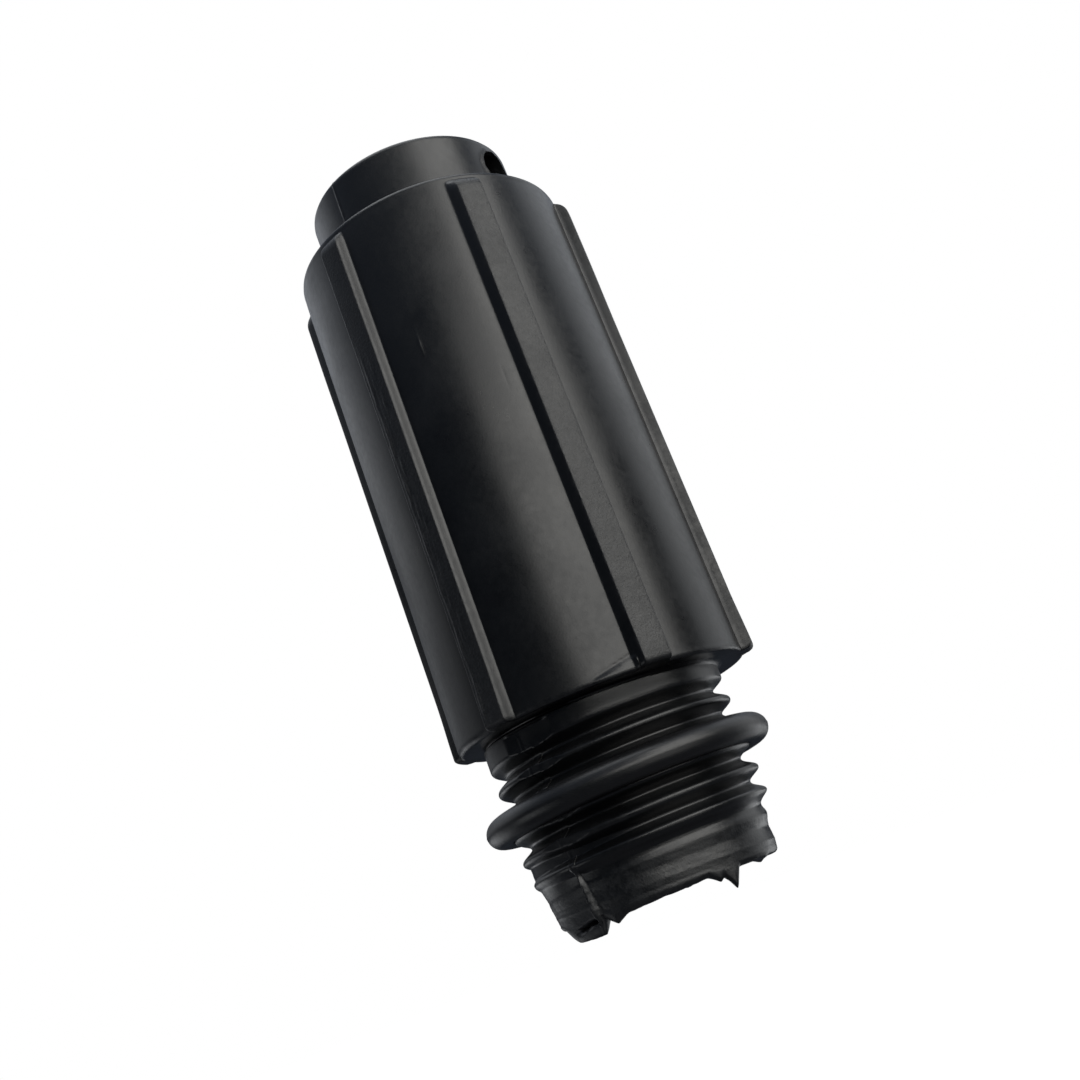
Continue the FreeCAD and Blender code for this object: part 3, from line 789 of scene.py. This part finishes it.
def cap_shape(radius, height, azimuth):
    outside = (radius > CAP_RADIUS - 0.5) & (height > BARREL_TOP + 0.1)
    turn = np.radians(azimuth)
    lean = 0.05 * np.cos(turn - math.radians(LEAN_AZIMUTH)) * smooth(height, BARREL_TOP + 0.3, CAP_TOP)
    moved = radius + np.where(outside, 0.010 * np.sin(2 * turn + 0.4) + lean, 0)
    for centre, strength in zip(PARTING_LINES, (1.0, 0.8)):
        across = np.radians(wrap(azimuth - centre)) * radius
        slant = 0.10 * (height - BARREL_TOP) / (CAP_TOP - BARREL_TOP)
        ridge = bump(across - slant, 0.075) * (0.7 + 0.3 * wander(height * 2, 61))
        moved += np.where(outside & (radius > 6.9), strength * 0.055 * ridge, 0)
    # the moulded top dips a little between its edge and the gate mark in the middle
    top = height > CAP_TOP - 0.05
    dish = 0.10 * smooth(radius, 6.3, 5.6)
    dish = dish - 0.05 * smooth(radius, 1.3, 0.9) + 0.05 * smooth(radius, 0.55, 0.4)
    return moved, height - np.where(top, dish, 0)


def make_cap():
    roof = CAP_TOP - CAP_ROOF
    corners = [
        (0.0, roof, 0, 1.0),
        (CAP_INNER_RADIUS, roof, 0.3, 0.9),
        (CAP_INNER_RADIUS, CAP_SHOULDER, 0, 0.25),
        (CAP_RADIUS, CAP_SHOULDER, 0, 0.5),
        (CAP_RADIUS, 31.6, 0, 0.8),
        (CAP_BEAD_RADIUS, 31.8, 0, 0.2),
        (CAP_BEAD_RADIUS, 32.0, 0, 0.2),
        (CAP_RADIUS, 32.2, 0, 0.2),
        (CAP_RADIUS, 34.6, 0, 0.6),
        (CAP_RADIUS, CAP_TOP, 0.4, 0.16),
        (0.0, CAP_TOP, 0, 0.3),
    ]
    rows = outline(corners)
    azimuths = list(np.arange(0, 360, 2.0))
    for centre in PARTING_LINES:
        azimuths += [centre + k for k in (-1.6, -1.2, -0.8, -0.4, 0, 0.4, 0.8, 1.2, 1.6)]
    for centre in VENT_AZIMUTHS:
        azimuths += list(centre + np.arange(-18, 18.1, 1.0))
    azimuths = np.unique(np.round(np.mod(azimuths, 360.0), 3))
    # the outline starts and ends on the axis, so its last row isn't joined to its first
    piece = turned("vent_cap_moulding", rows, azimuths, cap_shape, False, "body", "vent_cap")
    for centre in VENT_AZIMUTHS:
        turn = math.radians(centre)
        away = Vector((math.cos(turn), math.sin(turn), 0))
        cutter_mesh = bpy.data.meshes.new("vent_cutter")
        work = bmesh.new()
        bmesh.ops.create_cone(work, cap_ends=True, segments=72, radius1=VENT_RADIUS * MM,
                              radius2=VENT_RADIUS * MM, depth=4.0 * MM)
        work.to_mesh(cutter_mesh)
        work.free()
        cutter = bpy.data.objects.new("vent_cutter", cutter_mesh)
        bpy.context.scene.collection.objects.link(cutter)
        spot = away * (CAP_RADIUS - 0.6) * MM + Vector((0, 0, VENT_HEIGHT * MM))
        outwards = away.to_track_quat("Z", "Y").to_matrix().to_4x4()
        cutter.matrix_world = Matrix.Translation(spot) @ outwards
        hole = piece.modifiers.new("vent", "BOOLEAN")
        hole.operation = "DIFFERENCE"
        hole.solver = "EXACT"
        hole.object = cutter
        bpy.context.view_layer.update()
        graph = bpy.context.evaluated_depsgraph_get()
        cut = bpy.data.meshes.new_from_object(piece.evaluated_get(graph), depsgraph=graph)
        piece.modifiers.clear()
        piece.data = cut
        bpy.data.objects.remove(cutter)
        burr(piece, centre)
    for polygon in piece.data.polygons:
        polygon.use_smooth = True
    sharp_by_angle(piece, 36)
    finish_piece(piece, "black_nylon")
    radius, azimuth, height = polar(vertices(piece))
    parting = near_parting_line(azimuth, 1.4) * (radius > 7.0)
    top_edge = bump(height - CAP_TOP + 0.1, 0.2) * smooth(radius, 6.6, 6.9)
    vent_edge = np.zeros_like(radius)
    for centre in VENT_AZIMUTHS:
        across = np.radians(wrap(azimuth - centre)) * CAP_RADIUS
        reach = np.hypot(across, height - VENT_HEIGHT)
        vent_edge = np.maximum(vent_edge, bump(reach - VENT_RADIUS, 0.35) * (radius > 6.8))
    mark(piece, "edge", np.clip(parting * 0.7 + top_edge * 0.6 + vent_edge, 0, 1))
    mark(piece, "matte", np.clip(vent_edge, 0, 1) * 0.5)
    return piece


def burr(piece, centre):
    """Raises a rough burr of drilled plastic round a vent's outer edge."""
    place = vertices(piece)
    radius, azimuth, height = polar(place)
    across = np.radians(wrap(azimuth - centre)) * CAP_RADIUS
    rise = height - VENT_HEIGHT
    reach = np.hypot(across, rise)
    around = np.arctan2(rise, across)
    rough = np.clip(0.8 + 0.3 * wander(around * 2, 71) + 0.12 * wander(around * 7, 72), 0, 1.3)
    worse = 0.6 + 0.5 * np.cos(around - 2.4)
    lift = 0.12 * worse * bump(reach - VENT_RADIUS, 0.22) * rough * (radius > CAP_RADIUS - 0.12)
    scale = 1 + lift / np.maximum(radius, 1.0)
    place[:, 0] *= scale
    place[:, 1] *= scale
    piece.data.vertices.foreach_set("co", (place * MM).ravel())
    piece.data.update()


# ---- O-ring ----


def make_o_ring():
    section = 0.94
    centre_radius = 8.60
    centre_height = (RING_LOW[2] + RING_HIGH[2]) / 2
    bore = 8.0
    angles = np.linspace(0, 2 * math.pi, 41)[:-1]
    rows = np.stack([centre_radius + section * np.cos(angles),
                     centre_height + 0.95 * section * np.sin(angles)], axis=-1)

    def shape(radius, height, azimuth):
        turn = np.radians(azimuth)
        # the inner side is pressed against the crests; a faint mould line runs round the outside
        pressed = bore + 0.02 * np.log1p(np.exp((radius - bore) / 0.02))
        flash = 0.018 * bump(height - centre_height, 0.06) * (radius > centre_radius)
        away = np.cos(turn - math.radians(LEAN_AZIMUTH))
        tilt = 0.33 * away + 0.01 * np.sin(3 * turn)
        return np.maximum(pressed, bore) + flash + (LEAN - 0.005) * away, height - tilt

    azimuths = np.arange(0, 360, 1.5)
    piece = turned("port_o_ring_rubber", rows, azimuths, shape, True, "o_ring", "port_o_ring")
    finish_piece(piece, "black_rubber")
    return piece


# ---- screens, pads and seals inside ----


def make_inlet_screen():
    low, high = low_high("inlet_screen")
    reach = high[0] - 0.25
    middle = (low[2] + high[2]) / 2
    pitch = 0.55
    wire = 0.075
    swing = (high[2] - low[2]) / 2 - wire
    count = int(reach / pitch)
    paths = []
    for line in range(-count, count + 1):
        offset = line * pitch
        half = math.sqrt(reach**2 - offset**2)
        along = np.linspace(-half, half, max(12, int(half * 16)))
        sign = 1 if line % 2 else -1
        wave = swing * sign * np.cos(math.pi * along / pitch)
        paths.append(np.stack([along, np.full_like(along, offset), middle + wave], axis=-1))
        paths.append(np.stack([np.full_like(along, offset), along, middle + wave * -1], axis=-1))
    piece = tubes("inlet_screen_weave", paths, wire, 6, "body", "inlet_screen")
    finish_piece(piece, "stainless_mesh")
    rows = outline([(reach - 0.25, low[2] + 0.02, 0.08, 0.1), (high[0], low[2] + 0.02, 0.08, 0.1),
                    (high[0], high[2] - 0.02, 0.08, 0.1), (reach - 0.25, high[2] - 0.02, 0.08, 0.1)])
    azimuths = np.arange(0, 360, 3.0)
    border = turned("inlet_screen_border", rows, azimuths, lambda r, z, a: (r, z), True, "body")
    finish_piece(border, "stainless_mesh")


def make_demister():
    """Layers of knitted wire loops, packed between the screen and the valve seat."""
    low, high = low_high("demister_pad")
    wire = 0.07
    outer = high[0] - wire - 0.02
    layers = 13
    paths = []
    turn = np.linspace(0, 2 * math.pi, 161)[:-1]
    for layer in range(layers):
        level = low[2] + 0.3 + (high[2] - low[2] - 0.6) * layer / (layers - 1)
        for ring, size in enumerate((outer - 0.45, outer - 1.45, outer - 2.45, outer - 3.5)):
            loops = max(5, int(size * 4.5))
            phase = RNG.random() * 6.283
            swell = 0.42 * np.cos(loops * turn + phase)
            slide = 0.45 * np.sin(2 * loops * turn + phase) / max(size, 1.0)
            reach = np.clip(size + swell + 0.05 * wander(turn * 5, layer * 7 + ring), 0.15, outer)
            rise = 0.20 * np.sin(loops * turn + phase * 2) + 0.05 * wander(turn * 4, layer * 5 + ring)
            height = np.clip(level + rise, low[2] + wire, high[2] - wire)
            paths.append(np.stack([reach * np.cos(turn + slide), reach * np.sin(turn + slide),
                                   height], axis=-1))
    piece = tubes("demister_knit", paths, wire, 5, "body", "demister_pad", loops=True)
    finish_piece(piece, "knitted_wire")


def soft_turned(name, node, corners, slot, roughness, size, body="body", closed=False,
                step=4.0):
    """A turned soft piece whose surface is dented by noise, kept just inside its CAD solid."""
    def shape(radius, height, azimuth):
        turn = np.radians(azimuth)
        shift = np.zeros_like(radius)
        flat = zip(radius.ravel(), height.ravel(), turn.ravel())
        for index, (r, z, t) in enumerate(flat):
            point = Vector((r * math.cos(t) / size, r * math.sin(t) / size, z / size))
            shift.flat[index] = mnoise.noise(point) * 0.6 + mnoise.noise(point * 2.3) * 0.4
        squeeze = roughness * (shift - 1.0)
        middle_r = (corners[0][0] + max(c[0] for c in corners)) / 2
        middle_z = (max(c[1] for c in corners) + min(c[1] for c in corners)) / 2
        reach_r = max(max(c[0] for c in corners) - middle_r, 0.01)
        reach_z = max(max(c[1] for c in corners) - middle_z, 0.01)
        if closed:
            scale_r = np.clip((radius - middle_r) / reach_r, -1, 1)
        else:
            scale_r = np.clip(radius / reach_r, 0, 1)
        scale_z = np.clip((height - middle_z) / reach_z, -1, 1)
        return radius + squeeze * scale_r * (radius > 0.01), height + squeeze * scale_z

    piece = turned(name, outline(corners), np.arange(0, 360, step), shape, closed, body, node)
    finish_piece(piece, slot)
    return piece


def make_soft_parts():
    low, high = low_high("foam_pad")
    soft_turned("foam_pad_open_cell", "foam_pad",
                [(0.0, low[2], 0, 0.4), (high[0], low[2], 0.6, 0.4),
                 (high[0], high[2], 0.6, 0.3), (0.0, high[2], 0, 0.3)],
                "grey_foam", 0.07, 0.45, step=3.0)
    low, high = low_high("felt_sleeve")
    inner = 3.5
    soft_turned("felt_sleeve_wrapped", "felt_sleeve",
                [(inner, low[2], 0.2, 0.4), (high[0], low[2], 0.45, 0.4), (high[0], high[2], 0.45, 0.5),
                 (inner, high[2], 0.2, 0.4)],
                "grey_felt", 0.05, 0.7, closed=True)
    low, high = low_high("seat_gasket")
    soft_turned("seat_gasket_fibre", "seat_gasket",
                [(PAD_BORE_RADIUS, low[2], 0.06, 0.3), (high[0], low[2], 0.06, 0.3),
                 (high[0], high[2], 0.06, 0.3), (PAD_BORE_RADIUS, high[2], 0.06, 0.3)],
                "gasket_fibre", 0.006, 0.3, closed=True)
    low, high = low_high("poppet_seal")
    soft_turned("poppet_seal_rubber", "poppet_seal",
                [(1.27, low[2], 0.05, 0.3), (high[0], low[2], 0.12, 0.3), (high[0], high[2], 0.12, 0.3),
                 (1.27, high[2], 0.05, 0.3)],
                "brown_rubber", 0.004, 0.5, body="valve", closed=True)


make_housing()
make_cap()
make_o_ring()
make_inlet_screen()
make_demister()
make_soft_parts()

# ---- CAD nodes whose shape is right get their materials ----

CARRIED_OVER = {
    "screen_ring": "black_acetal",
    "valve_seat": "brass",
    "valve_poppet": "white_acetal",
    "valve_spring": "spring_steel",
    "valve_cage": "black_acetal",
    "lower_end_plate": "black_acetal",
    "diffuser_tube": "plated_steel",
    "tube_screen": "stainless_mesh",
    "upper_end_plate": "black_acetal",
    "upper_screen": "stainless_mesh",
    "wave_spring": "spring_steel",
}
for node_name, slot_name in CARRIED_OVER.items():
    node_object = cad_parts[node_name]
    for slot_index in range(len(node_object.material_slots)):
        node_object.material_slots[slot_index].material = LOOKS[slot_name]

# ---- camera ----

CAMERA_PLACE = Vector((-62.559, -47.821, -11.433)) * MM
LOOK_AZIMUTH = math.radians(37.4)
LOOK_ELEVATION = math.radians(16.64)
ROLL = math.radians(20.89)
LENS = 40.755

look = Vector((math.cos(LOOK_ELEVATION) * math.cos(LOOK_AZIMUTH),
               math.cos(LOOK_ELEVATION) * math.sin(LOOK_AZIMUTH),
               math.sin(LOOK_ELEVATION)))
level_right = look.cross(Vector((0, 0, 1))).normalized()
level_up = level_right.cross(look)
right = level_right * math.cos(ROLL) - level_up * math.sin(ROLL)
up = level_up * math.cos(ROLL) + level_right * math.sin(ROLL)
camera_data = bpy.data.cameras.new("camera")
camera_data.lens = LENS
camera_data.sensor_width = 36.0
camera_data.clip_start = 0.001
camera_data.clip_end = 20.0
camera = bpy.data.objects.new("camera", camera_data)
bpy.context.scene.collection.objects.link(camera)
axes = Matrix((right, up, -look)).transposed().to_4x4()
camera.matrix_world = Matrix.Translation(CAMERA_PLACE) @ axes
bpy.context.scene.camera = camera

# ---- studio: softboxes, dim sky, white backdrop and floor ----

STUDIO_CENTRE = Vector((0, 0, 14.0)) * MM
LIGHT_DISTANCE = 0.60
WARM, COOL, BLUISH = (1.0, 0.99, 0.95), (0.97, 0.99, 1.0), (0.96, 0.98, 1.0)


def softbox(name, angle, elevation, width, tall, radiance, colour):
    """A soft rectangular light. angle is measured to the right of the side that faces the camera."""
    data = bpy.data.lights.new(name, "AREA")
    data.shape = "RECTANGLE"
    data.size = width
    data.size_y = tall
    data.energy = radiance * width * tall * math.pi
    data.color = colour
    lamp = bpy.data.objects.new(name, data)
    bpy.context.scene.collection.objects.link(lamp)
    turn, rise = math.radians(front(angle)), math.radians(elevation)
    away = Vector((math.cos(turn) * math.cos(rise), math.sin(turn) * math.cos(rise), math.sin(rise)))
    lamp.location = STUDIO_CENTRE + away * LIGHT_DISTANCE
    lamp.rotation_mode = "QUATERNION"
    lamp.rotation_quaternion = away.to_track_quat("Z", "Y")
    lamp.visible_camera = False


LIGHTS = [  # name, angle, elevation, width and height in metres, radiance, colour
    ("key", 32.0, 14.0, 0.94, 0.28, 3.5, WARM),
    ("key_high", 47.0, 38.0, 0.42, 0.26, 3.3, WARM),
    ("back_right", 118.0, 16.0, 0.43, 0.72, 0.9, COOL),
    ("back_right_far", 162.0, 26.0, 0.36, 0.52, 0.20, COOL),
    ("back_left", -120.0, 30.0, 0.44, 0.32, 0.60, BLUISH),
    ("back_left_low", -122.0, 8.0, 0.53, 0.15, 0.27, BLUISH),
    ("back_left_far", -160.0, 10.0, 0.41, 0.17, 0.15, BLUISH),
    ("back_left_high", -160.0, 34.0, 0.41, 0.32, 0.36, BLUISH),
    ("back_rim", 180.0, 24.0, 0.16, 0.40, 0.7, COOL),
    ("back_low_right", 140.0, -17.0, 0.32, 0.24, 1.2, COOL),
    ("back_low_left", -138.0, -17.0, 0.32, 0.24, 1.0, BLUISH),
    ("front_low", 34.0, -22.0, 0.50, 0.18, 1.2, WARM),
    ("side_low", -82.0, -20.0, 0.30, 0.22, 1.0, COOL),
    ("overhead", 0.0, 88.0, 0.50, 0.50, 1.8, COOL),
]
for light in LIGHTS:
    softbox(*light)

world = bpy.data.worlds.new("studio")
bpy.context.scene.world = world
world.use_nodes = True
wn, wl = world.node_tree.nodes, world.node_tree.links
wn.clear()
direction = wn.new("ShaderNodeTexCoord")
parts = wn.new("ShaderNodeSeparateXYZ")
wl.new(direction.outputs["Generated"], parts.inputs["Vector"])
ramp = wn.new("ShaderNodeValToRGB")
ramp.color_ramp.elements[0].position = 0.0
ramp.color_ramp.elements[0].color = (0.11, 0.115, 0.13, 1)
ramp.color_ramp.elements[1].position = 1.0
ramp.color_ramp.elements[1].color = (0.16, 0.19, 0.25, 1)
for position, colour in ((0.35, (0.05, 0.058, 0.072, 1)), (0.52, (0.018, 0.024, 0.036, 1)),
                         (0.66, (0.016, 0.022, 0.034, 1)), (0.71, (0.06, 0.075, 0.105, 1)),
                         (0.76, (0.15, 0.18, 0.24, 1))):
    ramp.color_ramp.elements.new(position).color = colour
raise_up = wn.new("ShaderNodeMapRange")
raise_up.inputs["From Min"].default_value = -1.0
wl.new(parts.outputs["Z"], raise_up.inputs["Value"])
wl.new(raise_up.outputs["Result"], ramp.inputs["Fac"])
sky = wn.new("ShaderNodeBackground")
wl.new(ramp.outputs["Color"], sky.inputs["Color"])
backdrop = wn.new("ShaderNodeBackground")
backdrop.inputs["Color"].default_value = (1, 1, 1, 1)
backdrop.inputs["Strength"].default_value = 1.0
ray = wn.new("ShaderNodeLightPath")
either = wn.new("ShaderNodeMixShader")
wl.new(ray.outputs["Is Camera Ray"], either.inputs["Fac"])
wl.new(sky.outputs["Background"], either.inputs[1])
wl.new(backdrop.outputs["Background"], either.inputs[2])
wl.new(either.outputs["Shader"], wn.new("ShaderNodeOutputWorld").inputs["Surface"])

FLOOR_HEIGHT = -75.0
floor_mesh = bpy.data.meshes.new("floor")
floor_work = bmesh.new()
bmesh.ops.create_circle(floor_work, cap_ends=True, segments=96, radius=2.4)
floor_work.to_mesh(floor_mesh)
floor_work.free()
floor = bpy.data.objects.new("floor", floor_mesh)
floor.location = (0, 0, FLOOR_HEIGHT * MM)
bpy.context.scene.collection.objects.link(floor)
floor_look = bpy.data.materials.new("pale_floor")
floor_look.use_nodes = True
floor_shader = floor_look.node_tree.nodes["Principled BSDF"]
floor_shader.inputs["Base Color"].default_value = (0.9, 0.9, 0.9, 1)
floor_shader.inputs["Roughness"].default_value = 1.0
floor_shader.inputs["Specular IOR Level"].default_value = 0.0
floor_shader.inputs["Emission Color"].default_value = (1, 1, 1, 1)
floor_shader.inputs["Emission Strength"].default_value = 0.9
floor_mesh.materials.append(floor_look)
floor.visible_diffuse = False
floor.visible_glossy = False

bpy.context.scene.view_settings.view_transform = "Standard"
